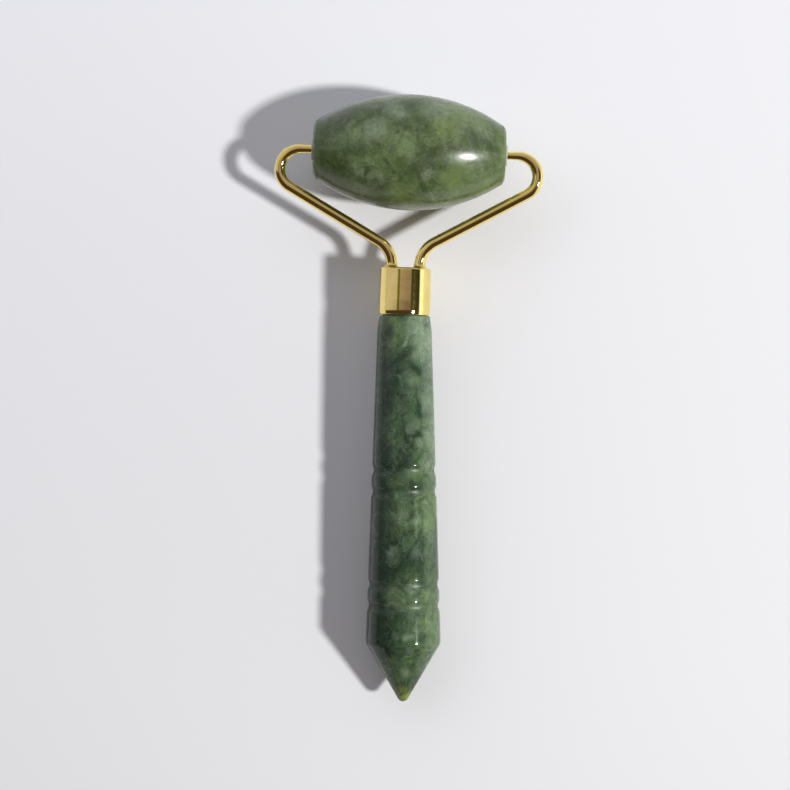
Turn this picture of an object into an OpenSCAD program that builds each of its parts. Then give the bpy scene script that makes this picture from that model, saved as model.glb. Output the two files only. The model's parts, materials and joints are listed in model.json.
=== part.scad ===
// Jade face roller. A barrel of stone spins on the sprung ends of two wire arms, which are
// soldered into a ferrule, and the ferrule is glued over the tenon of a turned stone handle.
//
// Each piece is drawn in the working frame: the roller's axis lies along X through the origin,
// the handle runs towards -Y, and the wire arms lie in the plane Z = 0. A distance "down the
// handle" is measured from the roller's axis. rest_pose() then lays the whole roller on a
// surface, on its barrel and on the widest ring of its handle, with the origin at the bottom
// centre of its bounding box and +Z up.

/* [Roller stone] */
// Length of the barrel, end face to end face
roller_length = 41.7; // [38:0.1:42]
// Diameter of the barrel at its middle
roller_diameter = 25.2; // [23:0.1:26]
// Diameter to which the barrel's curve has come down at its ends
roller_end_diameter = 11.9; // [10:0.1:14]
// Rounding round each end face
roller_edge_radius = 0.7; // [0.3:0.1:1.2]
// Diameter of the bore drilled through the barrel
roller_bore = 4; // [3.6:0.1:4.6]
// Length of the tapered lead-in at each end of the bore
roller_bore_chamfer = 0.3; // [0.1:0.1:0.5]

/* [Bushes] */
// Length of each bush inside the bore
bush_length = 6; // [4:0.5:8]
// Diameter of the flange that keeps the bush at the end face
bush_flange_diameter = 5; // [4.9:0.1:6]
// Thickness of the flange
bush_flange = 0.5; // [0.3:0.1:0.6]

/* [Wire arms] */
// Diameter of the wire
wire_diameter = 2.4; // [2:0.1:2.6]
// Diameter of the turned-down pin at the end of the wire
pin_diameter = 1.8; // [1.4:0.1:1.8]
// Length of the pin inside the bush, from the barrel's end face
pin_length = 5; // [3:0.5:8]
// Radial running clearance of the pin in its bush
pin_clearance = 0.05; // [0.02:0.01:0.1]
// Distance from the middle of the roller to where the pin's wire starts to bend
shoulder_start = 23.6; // [23.2:0.1:25]
// Bend radius of the shoulder, at the wire's centre
shoulder_radius = 4.45; // [4.2:0.05:4.8]
// Slope of the arm away from the roller's axis
arm_slope = 29.4; // [28.5:0.1:30.5]
// Bend radius where the arm turns into its leg, at the wire's centre
leg_bend_radius = 6; // [5.5:0.1:6.4]
// Distance of each leg from the centreline
leg_offset = 3; // [2.7:0.1:3.2]
// Depth that a leg reaches into the ferrule
leg_depth = 4; // [3:0.1:4.2]
// Height of the solder collar where a leg enters the ferrule
solder_height = 0.5; // [0.3:0.1:0.5]
// Width of the solder collar round the wire
solder_width = 0.6; // [0.3:0.1:0.8]

/* [Ferrule] */
// Distance down the handle to the ferrule's closed top
ferrule_top = 25.1; // [25:0.1:25.6]
// Length of the ferrule
ferrule_length = 10.2; // [10:0.1:11]
// Outer diameter of the ferrule
ferrule_diameter = 11.3; // [11.2:0.1:12]
// Thickness of the ferrule's side wall
ferrule_wall = 0.5; // [0.4:0.1:0.6]
// Thickness of the ferrule's closed top
ferrule_cap = 1; // [0.8:0.1:1.2]
// Rounding round the top edge
ferrule_top_radius = 0.45; // [0.2:0.05:0.45]
// Rounding round the lower rim
ferrule_rim_radius = 0.15; // [0.1:0.05:0.2]

/* [Handle stone] */
// Gap between the ferrule's rim and the shoulder of the handle
shoulder_gap = 0.25; // [0.2:0.05:0.4]
// Diameter of the tenon inside the ferrule
tenon_diameter = 9.6; // [9:0.1:9.6]
// Length of the tenon
tenon_length = 5.6; // [4.5:0.1:5.8]
// Diameter of the handle at its shoulder
shoulder_diameter = 11; // [10.6:0.1:11.2]
// Length of the rounded shoulder
shoulder_length = 2.9; // [2:0.1:4]
// Diameter of the handle at the end of its shoulder
neck_diameter = 11.84; // [11.4:0.02:12.2]
// Distance down the handle to its widest ring
widest_distance = 106.7; // [104:0.1:110]
// Diameter of the widest ring
widest_diameter = 16.36; // [15.6:0.02:17]
// How far the taper bellies out between neck and widest ring
taper_belly = 0.1; // [0:0.05:0.3]
// Rounding round the widest ring
widest_radius = 1.2; // [0.5:0.1:2]
// Half angle of the pointed end
point_angle = 31; // [28:0.5:36]
// Rounding of the tip
tip_radius = 0.85; // [0.5:0.05:1.5]

/* [Handle rings] */
// Distance down the handle to the middle of the upper pair of grooves
upper_rings = 71.35; // [66:0.05:76]
// Distance down the handle to the middle of the lower pair of grooves
lower_rings = 96.2; // [90:0.05:99]
// Distance between the two grooves of a pair
ring_spacing = 4.65; // [3.6:0.05:5.5]
// Radius of the rounded groove
groove_radius = 1.9; // [1.2:0.1:2.5]
// Depth of the groove
groove_depth = 0.36; // [0.2:0.02:0.5]

/* [Assembly] */
// Lean of the glued-on metal head, turned clockwise seen from above
head_lean = 1.7; // [0:0.1:2]

/* [Hidden] */

$fn = 96;
arc_steps = 8;
belly_steps = 8;
cut_margin = 1; // how far a cutting rod runs past the faces that it opens

roller_radius = roller_diameter / 2;
roller_half = roller_length / 2;
barrel_drop = (roller_diameter - roller_end_diameter) / 2;
barrel_radius = (pow(roller_half, 2) + pow(barrel_drop, 2)) / (2 * barrel_drop);
barrel_sweep = asin(roller_half / barrel_radius);
barrel_steps = 48;

bush_hole = pin_diameter + 2 * pin_clearance;
pin_end_chamfer = 0.3;
pin_inner_end = roller_half - pin_length;
bare_pin = 0.6; // length of pin that shows outside the bush's flange
neck_start = roller_half + bush_flange + bare_pin;

arm_length = (shoulder_start - leg_offset - leg_bend_radius
    + (shoulder_radius + leg_bend_radius) * sin(arm_slope)) / cos(arm_slope);
leg_bend_start = shoulder_radius + (shoulder_radius + leg_bend_radius) * cos(arm_slope)
    + arm_length * sin(arm_slope);
leg_end = ferrule_top + leg_depth;
leg_clearance = 0.05;

ferrule_radius = ferrule_diameter / 2;
ferrule_bore_radius = ferrule_radius - ferrule_wall;
ferrule_rim = ferrule_top + ferrule_length;
ferrule_middle = ferrule_top + ferrule_length / 2;
cap_underside = ferrule_top + ferrule_cap;
adhesive_recess = 0.1; // depth of the adhesive's edge inside the ferrule's rim
adhesive_end = ferrule_rim - adhesive_recess;

handle_shoulder = ferrule_rim + shoulder_gap;
tenon_end = handle_shoulder - tenon_length;
tenon_radius = tenon_diameter / 2;
tenon_chamfer = 0.4;
shoulder_edge_radius = 0.3;
neck_blend_radius = 8;
neck_distance = handle_shoulder + shoulder_length;
widest_corner = [widest_diameter / 2, widest_distance];
point_distance = widest_distance + widest_diameter / 2 / tan(point_angle);
tip_centre = point_distance - tip_radius / sin(point_angle);

// ---- outlines ----

function unit(v) = v / norm(v);

function half_corner(a, b, c) = acos(unit(a - b) * unit(c - b)) / 2;

// Centre of the arc that rounds corner b between a and c.
function corner_centre(a, b, c, radius) =
    b + unit(unit(a - b) + unit(c - b)) * radius / sin(half_corner(a, b, c));

// Points of that arc, from the side of a to the side of c.
function corner_arc(a, b, c, radius) =
    let (
        half = half_corner(a, b, c),
        centre = corner_centre(a, b, c, radius),
        from = b + unit(a - b) * radius / tan(half) - centre,
        to = b + unit(c - b) * radius / tan(half) - centre,
        start = atan2(from.y, from.x),
        turn = sign(from.x * to.y - from.y * to.x) * (180 - 2 * half)
    )
    [
        for (i = [0:arc_steps])
            let (angle = start + turn * i / arc_steps)
            centre + radius * [cos(angle), sin(angle)]
    ];

function flat(corner) = [corner.x, corner.y];

// An outline from a list of [x, y, corner radius].
function rounded(corners) =
    let (count = len(corners))
    [
        for (i = [0:count - 1])
            let (
                before = flat(corners[(i + count - 1) % count]),
                after = flat(corners[(i + 1) % count])
            )
            each corners[i].z > 0
                ? corner_arc(before, flat(corners[i]), after, corners[i].z)
                : [flat(corners[i])]
    ];

// Radius of the handle between its neck, t = 0, and its widest ring, t = 1.
function taper_radius(t) =
    (neck_diameter + t * (widest_diameter - neck_diameter)) / 2 + 4 * taper_belly * t * (1 - t);

function taper_distance(t) = neck_distance + t * (widest_distance - neck_distance);

taper = [
    for (i = [1:belly_steps - 1])
        let (t = i / belly_steps)
        [taper_radius(t), taper_distance(t), 0]
];

tip = [
    for (i = [0:arc_steps])
        let (angle = point_angle + (90 - point_angle) * i / arc_steps)
        [tip_radius * cos(angle), tip_centre + tip_radius * sin(angle), 0]
];

handle_outline = concat(
    [
        [0, tenon_end, 0],
        [tenon_radius - tenon_chamfer, tenon_end, 0],
        [tenon_radius, tenon_end + tenon_chamfer, 0],
        [tenon_radius, handle_shoulder, 0],
        [shoulder_diameter / 2, handle_shoulder, shoulder_edge_radius],
        [neck_diameter / 2, neck_distance, neck_blend_radius],
    ],
    taper,
    [[widest_corner.x, widest_corner.y, widest_radius]],
    tip
);

// Half of the barrel's outline, from one end face to the other, before its edges are rounded.
barrel = [
    for (i = [1:barrel_steps - 1])
        let (angle = barrel_sweep * (2 * i / barrel_steps - 1))
        [roller_radius - barrel_radius * (1 - cos(angle)), barrel_radius * sin(angle), 0]
];

barrel_outline = concat(
    [
        [0, -roller_half, 0],
        [roller_end_diameter / 2, -roller_half, roller_edge_radius],
    ],
    barrel,
    [
        [roller_end_diameter / 2, roller_half, roller_edge_radius],
        [0, roller_half, 0],
    ]
);

ferrule_outline = [
    [0, ferrule_top, 0],
    [ferrule_radius, ferrule_top, ferrule_top_radius],
    [ferrule_radius, ferrule_rim, ferrule_rim_radius],
    [ferrule_bore_radius, ferrule_rim, 0],
    [ferrule_bore_radius, cap_underside, 0],
    [0, cap_underside, 0],
];

// ---- rest pose ----

// The barrel and the rounded edge of the widest ring both touch the surface.
edge_centre = corner_centre(flat(taper[belly_steps - 2]), widest_corner, flat(tip[0]), widest_radius);
rest_tilt = asin((roller_radius - widest_radius) / norm(edge_centre))
    - atan(edge_centre.x / edge_centre.y);
head_shift = (ferrule_middle - shoulder_radius) * sin(head_lean);
tip_reach = tip_centre * cos(rest_tilt) + tip_radius;

// Lays the whole roller on the surface, centred over the origin.
module rest_pose()
    translate([-head_shift, (tip_reach - roller_radius) / 2, roller_radius])
        rotate([rest_tilt, 0, 0])
            children();

// The metal head and the roller lean about the ferrule's middle.
module lean_head()
    translate([0, -ferrule_middle, 0])
        rotate([0, 0, -head_lean])
            translate([0, ferrule_middle, 0])
                children();

// Turns an outline of [radius, distance down the handle] round the handle's axis.
module along_handle() rotate([90, 0, 0]) rotate_extrude() children();

// Turns an outline of [radius, distance from the roller's middle] round the roller's axis.
module along_roller() rotate([0, 90, 0]) rotate_extrude() children();

// A rod along the roller's axis, which may taper from one diameter to the other.
module axis_rod(from, to, from_diameter, to_diameter)
    translate([from, 0, 0])
        rotate([0, 90, 0])
            cylinder(h = to - from, d1 = from_diameter, d2 = to_diameter);

// A rod parallel to the handle, from one distance to another.
module handle_rod(from, to, diameter)
    translate([0, -from, 0])
        rotate([90, 0, 0])
            cylinder(h = to - from, d = diameter);

// ---- shapes in the working frame ----

module groove_cuts(pair_distance)
    for (side = [-1, 1])
        let (
            distance = pair_distance + side * ring_spacing / 2,
            t = (distance - neck_distance) / (widest_distance - neck_distance)
        )
        translate([taper_radius(t) + groove_radius - groove_depth, distance])
            circle(r = groove_radius);

module handle_shape()
    along_handle()
        difference() {
            polygon(rounded(handle_outline));
            groove_cuts(upper_rings);
            groove_cuts(lower_rings);
        }

module legs(diameter)
    for (side = [-1, 1])
        translate([side * leg_offset, 0, 0])
            handle_rod(leg_bend_start, leg_end, diameter);

// Straight wire along +Y. Its children carry on from its end.
module straight(length) {
    rotate([-90, 0, 0])
        cylinder(h = length, d = wire_diameter);
    translate([0, length, 0])
        children();
}

// Wire along +Y that bends to the left. Its children carry on from its end.
module bend(radius, turn)
    translate([-radius, 0, 0]) {
        rotate_extrude(angle = turn)
            translate([radius, 0])
                circle(d = wire_diameter);
        rotate([0, 0, turn])
            translate([radius, 0, 0])
                children();
    }

// The turned-down end of the wire, from its inner end along +X to the start of the shoulder.
module pin() {
    pin_radius = pin_diameter / 2;
    rotate([0, 90, 0])
        rotate_extrude()
            polygon([
                [0, pin_inner_end],
                [pin_radius - pin_end_chamfer, pin_inner_end],
                [pin_radius, pin_inner_end + pin_end_chamfer],
                [pin_radius, neck_start],
                [wire_diameter / 2, shoulder_start],
                [0, shoulder_start],
            ]);
}

// The wire on the right-hand side, from its pin to the foot of its leg.
module wire_arm() {
    pin();
    translate([shoulder_start, 0, 0])
        rotate([0, 0, -90])
            mirror([1, 0, 0])
                bend(shoulder_radius, 180 - arm_slope)
                    mirror([1, 0, 0])
                        straight(arm_length)
                            bend(leg_bend_radius, 90 - arm_slope)
                                straight(leg_end - leg_bend_start);
}

// The tapered mouth of the bore, which cuts into the right-hand end face.
module bore_mouth() {
    mouth_diameter = roller_bore + 4 * roller_bore_chamfer;
    axis_rod(roller_half - roller_bore_chamfer, roller_half + roller_bore_chamfer, roller_bore,
        mouth_diameter);
}

// A bush in the right-hand end of the bore, its flange against the end face.
module bush()
    difference() {
        union() {
            axis_rod(roller_half - bush_length, roller_half, roller_bore, roller_bore);
            axis_rod(roller_half, roller_half + bush_flange, bush_flange_diameter,
                bush_flange_diameter);
        }
        axis_rod(roller_half - bush_length - cut_margin, roller_half + bush_flange + cut_margin,
            bush_hole, bush_hole);
    }

// ---- sub-parts ----

module handle_stone()
    color([0.26, 0.37, 0.27])
        rest_pose()
            handle_shape();

module ferrule()
    color([0.86, 0.70, 0.33])
        rest_pose()
            lean_head()
                difference() {
                    along_handle() polygon(rounded(ferrule_outline));
                    legs(wire_diameter + 2 * leg_clearance);
                }

// Fills the ferrule round the tenon and the feet of the legs.
module adhesive()
    color([0.80, 0.76, 0.62])
        rest_pose()
            difference() {
                lean_head()
                    handle_rod(cap_underside, adhesive_end, 2 * ferrule_bore_radius);
                handle_shape();
                lean_head()
                    legs(wire_diameter);
            }

module wire_arm_left()
    color([0.86, 0.70, 0.33])
        rest_pose()
            lean_head()
                mirror([1, 0, 0])
                    wire_arm();

module wire_arm_right()
    color([0.86, 0.70, 0.33])
        rest_pose()
            lean_head()
                wire_arm();

module solder_collars() {
    wire_radius = wire_diameter / 2;
    collar = concat(
        [[wire_radius, 0]],
        [
            for (i = [0:arc_steps])
                let (angle = 90 * i / arc_steps)
                [
                    wire_radius + solder_width * (1 - sin(angle)),
                    solder_height * (1 - cos(angle)),
                ]
        ]
    );
    color([0.80, 0.64, 0.30])
        rest_pose()
            lean_head()
                for (side = [-1, 1])
                    translate([side * leg_offset, -ferrule_top, 0])
                        rotate([-90, 0, 0])
                            rotate_extrude()
                                polygon(collar);
}

module roller_stone()
    color([0.40, 0.50, 0.32])
        rest_pose()
            lean_head()
                difference() {
                    along_roller() polygon(rounded(barrel_outline));
                    axis_rod(-roller_half - cut_margin, roller_half + cut_margin, roller_bore,
                        roller_bore);
                    bore_mouth();
                    mirror([1, 0, 0])
                        bore_mouth();
                }

module bush_left()
    color([0.90, 0.89, 0.84])
        rest_pose()
            lean_head()
                mirror([1, 0, 0])
                    bush();

module bush_right()
    color([0.90, 0.89, 0.84])
        rest_pose()
            lean_head()
                bush();

handle_stone();
ferrule();
adhesive();
wire_arm_left();
wire_arm_right();
solder_collars();
roller_stone();
bush_left();
bush_right();
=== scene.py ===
"""Looks of the jade face roller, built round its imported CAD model. Blender works in metres."""
import json
from math import atan2, cos, pi, radians, sin, sqrt, tan

import bpy
from mathutils import Matrix, Vector, noise


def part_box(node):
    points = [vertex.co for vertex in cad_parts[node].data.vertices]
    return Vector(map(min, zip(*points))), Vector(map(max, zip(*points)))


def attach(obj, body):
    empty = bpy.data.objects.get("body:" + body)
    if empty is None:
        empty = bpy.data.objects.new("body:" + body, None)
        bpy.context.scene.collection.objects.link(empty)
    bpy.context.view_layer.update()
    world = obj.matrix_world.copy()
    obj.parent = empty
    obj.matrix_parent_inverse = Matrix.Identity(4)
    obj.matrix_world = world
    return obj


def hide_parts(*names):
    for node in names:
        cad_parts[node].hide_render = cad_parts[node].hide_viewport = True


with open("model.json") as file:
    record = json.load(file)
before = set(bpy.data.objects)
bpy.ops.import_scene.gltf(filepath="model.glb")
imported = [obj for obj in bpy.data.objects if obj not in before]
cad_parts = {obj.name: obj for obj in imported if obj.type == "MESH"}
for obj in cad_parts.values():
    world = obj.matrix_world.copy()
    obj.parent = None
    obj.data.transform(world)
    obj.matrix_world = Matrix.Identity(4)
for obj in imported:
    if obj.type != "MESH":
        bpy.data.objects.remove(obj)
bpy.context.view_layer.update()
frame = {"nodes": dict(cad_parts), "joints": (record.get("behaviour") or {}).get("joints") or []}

MM = 0.001

# ---- dimensions of the pieces, in millimetres and radians ----

ROLLER_HALF = 20.85
ROLLER_RADIUS = 12.6
ROLLER_END_RADIUS = 5.95
ROLLER_EDGE = 1.5
BORE_RADIUS = 2.0
BORE_CHAMFER = 0.3
BORE_EDGE = 0.1

BUSH_LENGTH = 6.0
FLANGE_RADIUS = 2.3
FLANGE = 0.4
FLANGE_EDGE = 0.15
FLANGE_BACK_EDGE = 0.05
BUSH_HOLE_RADIUS = 0.95
BUSH_HOLE_EDGE = 0.1
BUSH_LEAD_IN = 0.2
BUSH_PRESS = 0.01

WIRE_RADIUS = 1.2
PIN_RADIUS = 0.9
PIN_LENGTH = 5.0
PIN_POINT = 0.3
BARE_PIN = 0.6
SHOULDER_START = 23.6
SHOULDER_BEND = 4.45
ARM_SLOPE = radians(29.4)
LEG_BEND = 6.0
LEG_OFFSET = 3.0
LEG_DEPTH = 4.0
LEG_CLEARANCE = 0.03
DRILL_MARGIN = 1
SOLDER_HEIGHT = 1.1
SOLDER_WIDTH = 0.88
SOLDER_OVERLAP = 0.05

FERRULE_TOP = 25.1
FERRULE_LENGTH = 10.2
FERRULE_RADIUS = 5.65
FERRULE_WALL = 0.5
FERRULE_CAP = 1.0
FERRULE_SHOULDER = 0.45
FERRULE_POLISH = 0.08
LIP_TAPER = 3
LIP_TAPER_ROUNDING = 20
LIP_ROLL = 0.8
LIP_ROLL_ROUNDING = 3
LIP_OUTER_EDGE = 0.12
LIP_INNER_EDGE = 0.05

SHOULDER_GAP = 0.25
TENON_RADIUS = 4.8
TENON_LENGTH = 5.6
TENON_CHAMFER = 0.4
HANDLE_SHOULDER_RADIUS = 5.5
HANDLE_SHOULDER_LENGTH = 2.9
HANDLE_SHOULDER_EDGE = 0.3
NECK_RADIUS = 5.92
NECK_ROUNDING = 8
WIDEST_DISTANCE = 106.7
WIDEST_RADIUS = 8.18
WIDEST_ROUNDING = 2.0
TAPER_BELLY = 0.03
POINT_ANGLE = radians(30.15)
TIP_RADIUS = 1.3
RINGS = [71.35, 96.2]
RING_SPACING = 4.65
GROOVE_RADIUS = 1.9
GROOVE_DEPTH = 0.36
GROOVE_EASING = 0.05
# The share of its radius that a groove reaches to each side.
GROOVE_REACH = 0.95

# Waves that lapping by hand leaves on the stones: half their depth, and their noise.
HANDLE_WAVES = 0.006
BARREL_WAVES = 0.012
WAVE_LENGTH = 5
WAVE_FALLOFF = 0.6
WAVE_LACUNARITY = 2.2
WAVE_OCTAVES = 3

# How finely the meshes are divided, in millimetres and in sides round an axis.
STONE_STEP = 0.6
GROOVE_STEP = 0.12
METAL_STEP = 0.3
BUSH_STEP = 0.5
HANDLE_SIDES = 144
BARREL_SIDES = 192
FERRULE_SIDES = 160
WIRE_SIDES = 40
SMALL_SIDES = 48
BUSH_SIDES = 64
TIP_STEPS = 8
BARREL_STEPS = 60
SOLDER_STEPS = 10
SHARP_ANGLE = radians(40)

# ---- places taken from the frame ----

spin = next(joint for joint in frame["joints"] if joint["name"] == "roller_spin")
spin_point = Vector(spin["pos_m"])
spin_axis = Vector(spin["axis"]).normalized()
ferrule_low, ferrule_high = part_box("ferrule")
ferrule_middle = (ferrule_low + ferrule_high) / 2
up_head = (spin_point - ferrule_middle).normalized()
above_head = spin_axis.cross(up_head)
down_handle = Vector((0, -up_head.y, -up_head.z)).normalized()
handle_start = ferrule_middle - down_handle * (spin_point - ferrule_middle).length


def placed(x_axis, y_axis, z_axis, origin):
    """The matrix of a local frame whose unit is the millimetre."""
    matrix = Matrix((x_axis * MM, y_axis * MM, z_axis * MM)).transposed().to_4x4()
    matrix.translation = origin
    return matrix


# Local frames, in millimetres. HEAD: X along the roller's axis, Y up the head, Z above it.
HEAD = placed(spin_axis, up_head, above_head, spin_point)
# BARREL: Z along the roller's axis, X up the head. SHAFT: Z down the handle, X to the right.
BARREL = placed(up_head, above_head, spin_axis, spin_point)
SHAFT = placed(Vector((1, 0, 0)), down_handle.cross(Vector((1, 0, 0))), down_handle, handle_start)
# SOCKET: Z down the metal head, X along the roller's axis.
SOCKET = placed(spin_axis, (-up_head).cross(spin_axis), -up_head, spin_point)


# ---- outlines: points of (distance from the axis, distance along it) ----


def rounded(corners, steps=8):
    """Outline points from (radius, distance, rounding) corners: a rounding becomes an arc."""
    points = []
    for index, (radius, distance, rounding) in enumerate(corners):
        corner = Vector((radius, distance))
        if not rounding:
            points.append(corner)
            continue
        before = (Vector(corners[index - 1][:2]) - corner).normalized()
        after = (Vector(corners[(index + 1) % len(corners)][:2]) - corner).normalized()
        half = before.angle(after) / 2
        centre = corner + (before + after).normalized() * rounding / sin(half)
        spoke = corner + before * rounding / tan(half) - centre
        start = atan2(spoke.y, spoke.x)
        turn = pi - 2 * half
        if before.x * after.y - before.y * after.x > 0:
            turn = -turn
        for step in range(steps + 1):
            angle = start + turn * step / steps
            points.append(centre + rounding * Vector((cos(angle), sin(angle))))
    return points


def divided(points, longest):
    """The same outline, with its long stretches divided."""
    fine = []
    for a, b in zip(points, points[1:]):
        parts = max(1, round((b - a).length / longest))
        fine += [a.lerp(b, part / parts) for part in range(parts)]
    return fine + [points[-1]]


def ring_outline(corners, longest):
    """A clockwise closed outline from anticlockwise corners, rounded and divided."""
    outline = rounded(corners)
    return divided(outline + outline[:1], longest)[:-1][::-1]


def edge_wear(points, closed):
    """For each point of a clockwise outline, from -1 in a hollow corner to 1 on an edge."""
    last = len(points) - 1
    bends = []
    for index, point in enumerate(points):
        before = points[index - 1] if index or closed else point
        after = points[(index + 1) % len(points)] if index < last or closed else point
        a, b = point - before, after - point
        if a.length < 1e-6 or b.length < 1e-6:
            bends.append(0.0)
            continue
        turn = atan2(a.y * b.x - a.x * b.y, a.dot(b))
        bends.append(max(-1.0, min(1.0, turn / (a.length + b.length) * 2)))
    for _ in range(3):
        bends = [
            (bends[max(index - 1, 0)] + 2 * bend + bends[min(index + 1, last)]) / 4
            for index, bend in enumerate(bends)
        ]
    return bends


# ---- mesh building ----


def mesh_object(name, vertices, faces, matrix, wear=None):
    """A smooth object from vertices in a local frame, with its edges sharp where they are."""
    mesh = bpy.data.meshes.new(name)
    mesh.from_pydata(vertices, [], faces)
    mesh.shade_smooth()
    mesh.set_sharp_from_angle(angle=SHARP_ANGLE)
    if wear:
        attribute = mesh.attributes.new("wear", "FLOAT", "POINT")
        attribute.data.foreach_set("value", wear)
    local = mesh.attributes.new("local", "FLOAT_VECTOR", "POINT")
    local.data.foreach_set("vector", [value for vertex in mesh.vertices for value in vertex.co])
    mesh.transform(matrix)
    piece = bpy.data.objects.new(name, mesh)
    bpy.context.scene.collection.objects.link(piece)
    return piece


def lathe(name, outline, matrix, sides, closed=False, waviness=0.0, seed=0):
    """Turns an outline round its local Z axis. It runs clockwise as seen with Z up and X right.
    A closed outline makes a ring. Otherwise both its ends lie on the axis."""
    vertices, faces, wear, rings = [], [], [], []
    for point, bend in zip(outline, edge_wear(outline, closed)):
        rings.append((len(vertices), 1 if point.x < 1e-6 else sides))
        for side in range(rings[-1][1]):
            angle = 2 * pi * side / sides
            place = Vector((point.x * cos(angle), point.x * sin(angle), point.y))
            if waviness and point.x > 1e-6:
                wave_place = place / WAVE_LENGTH + Vector((seed, 0, 0))
                ripple = noise.fractal(wave_place, WAVE_FALLOFF, WAVE_LACUNARITY, WAVE_OCTAVES)
                place.xy *= 1 - waviness * (1 + ripple) / point.x
            vertices.append(place)
            wear.append(bend)
    pairs = list(zip(rings, rings[1:]))
    if closed:
        pairs.append((rings[-1], rings[0]))
    for (low, low_count), (high, high_count) in pairs:
        for side in range(sides):
            following = (side + 1) % sides
            if low_count == 1:
                faces.append((low, high + side, high + following))
            elif high_count == 1:
                faces.append((low + side, high, low + following))
            else:
                faces.append((low + side, high + side, high + following, low + following))
    return mesh_object(name, vertices, faces, matrix, wear)


def sweep(name, path, matrix, sides):
    """A rod along a path in its local XY plane, from (point, heading, radius) stations."""
    vertices, faces = [], []
    for point, heading, radius in path:
        across = Vector((-sin(heading), cos(heading), 0))
        for side in range(sides):
            angle = 2 * pi * side / sides
            spoke = across * cos(angle) + Vector((0, 0, sin(angle)))
            vertices.append(point.to_3d() + spoke * radius)
    for ring in range(len(path) - 1):
        low, high = ring * sides, (ring + 1) * sides
        for side in range(sides):
            following = (side + 1) % sides
            faces.append((low + side, low + following, high + following, high + side))
    for ring, turn in ((0, -1), (len(path) - 1, 1)):
        centre = len(vertices)
        vertices.append(path[ring][0].to_3d())
        for side in range(sides):
            corners = (ring * sides + side, ring * sides + (side + 1) % sides)
            faces.append((corners[0], corners[1], centre)[::turn])
    return mesh_object(name, vertices, faces, matrix)


def cut(piece, cutters):
    """Cuts the cutters out of a piece and removes them."""
    for cutter in cutters:
        modifier = piece.modifiers.new("cut", "BOOLEAN")
        modifier.object = cutter
        modifier.solver = "EXACT"
    bpy.context.view_layer.update()
    shaped = piece.evaluated_get(bpy.context.evaluated_depsgraph_get())
    mesh = bpy.data.meshes.new_from_object(shaped)
    piece.modifiers.clear()
    piece.data = mesh
    for cutter in cutters:
        bpy.data.objects.remove(cutter)


# ---- the two stones ----


def taper_radius(distance):
    """Radius of the handle between its neck and its widest ring, before its grooves are cut."""
    neck = FERRULE_TOP + FERRULE_LENGTH + SHOULDER_GAP + HANDLE_SHOULDER_LENGTH
    share = (distance - neck) / (WIDEST_DISTANCE - neck)
    belly = 4 * TAPER_BELLY * share * (1 - share)
    return NECK_RADIUS + share * (WIDEST_RADIUS - NECK_RADIUS) + belly


def groove_distances():
    """Distances down the handle of the middles of its grooves."""
    return [middle + side * RING_SPACING / 2 for middle in RINGS for side in (-1, 1)]


def grooved(point):
    """An outline point of the taper, moved in where a groove passes, with its edges eased."""
    radius = point.x
    for distance in groove_distances():
        offset = point.y - distance
        if abs(offset) < GROOVE_RADIUS * GROOVE_REACH:
            centre = taper_radius(distance) + GROOVE_RADIUS - GROOVE_DEPTH
            bottom = centre - sqrt(GROOVE_RADIUS**2 - offset**2)
            mean, gap = (radius + bottom) / 2, (radius - bottom) / 2
            radius = mean - sqrt(gap**2 + GROOVE_EASING**2)
    return Vector((radius, point.y))


def taper_stations(start, end):
    """Distances along the taper, closer together where the grooves are."""
    distance = start
    while distance < end:
        yield distance
        near = any(abs(distance - groove) < GROOVE_RADIUS for groove in groove_distances())
        distance += GROOVE_STEP if near else STONE_STEP


def handle_outline():
    """The handle from its tip to the end of its tenon."""
    rim = FERRULE_TOP + FERRULE_LENGTH
    shoulder = rim + SHOULDER_GAP
    neck = shoulder + HANDLE_SHOULDER_LENGTH
    tenon_end = shoulder - TENON_LENGTH
    point = WIDEST_DISTANCE + WIDEST_RADIUS / tan(POINT_ANGLE)
    tip_centre = point - TIP_RADIUS / sin(POINT_ANGLE)
    top = rounded([
        (0, tenon_end, 0),
        (TENON_RADIUS - TENON_CHAMFER, tenon_end, 0),
        (TENON_RADIUS, tenon_end + TENON_CHAMFER, 0),
        (TENON_RADIUS, shoulder, 0),
        (HANDLE_SHOULDER_RADIUS, shoulder, HANDLE_SHOULDER_EDGE),
        (NECK_RADIUS, neck, NECK_ROUNDING),
        (taper_radius(neck + NECK_ROUNDING), neck + NECK_ROUNDING, 0),
    ])[:-1]
    taper = [
        grooved(Vector((taper_radius(distance), distance)))
        for distance in taper_stations(top[-1].y + METAL_STEP, WIDEST_DISTANCE - WIDEST_ROUNDING)
    ]
    widest = rounded([
        (taper[-1].x, taper[-1].y, 0),
        (WIDEST_RADIUS, WIDEST_DISTANCE, WIDEST_ROUNDING),
        (TIP_RADIUS * cos(POINT_ANGLE), tip_centre + TIP_RADIUS * sin(POINT_ANGLE), 0),
    ])[1:-1]
    tip = []
    for step in range(TIP_STEPS + 1):
        angle = POINT_ANGLE + (pi / 2 - POINT_ANGLE) * step / TIP_STEPS
        tip.append(Vector((TIP_RADIUS * cos(angle), tip_centre + TIP_RADIUS * sin(angle))))
    tip[-1].x = 0
    return divided(top + taper + widest + tip, STONE_STEP)[::-1]


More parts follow.
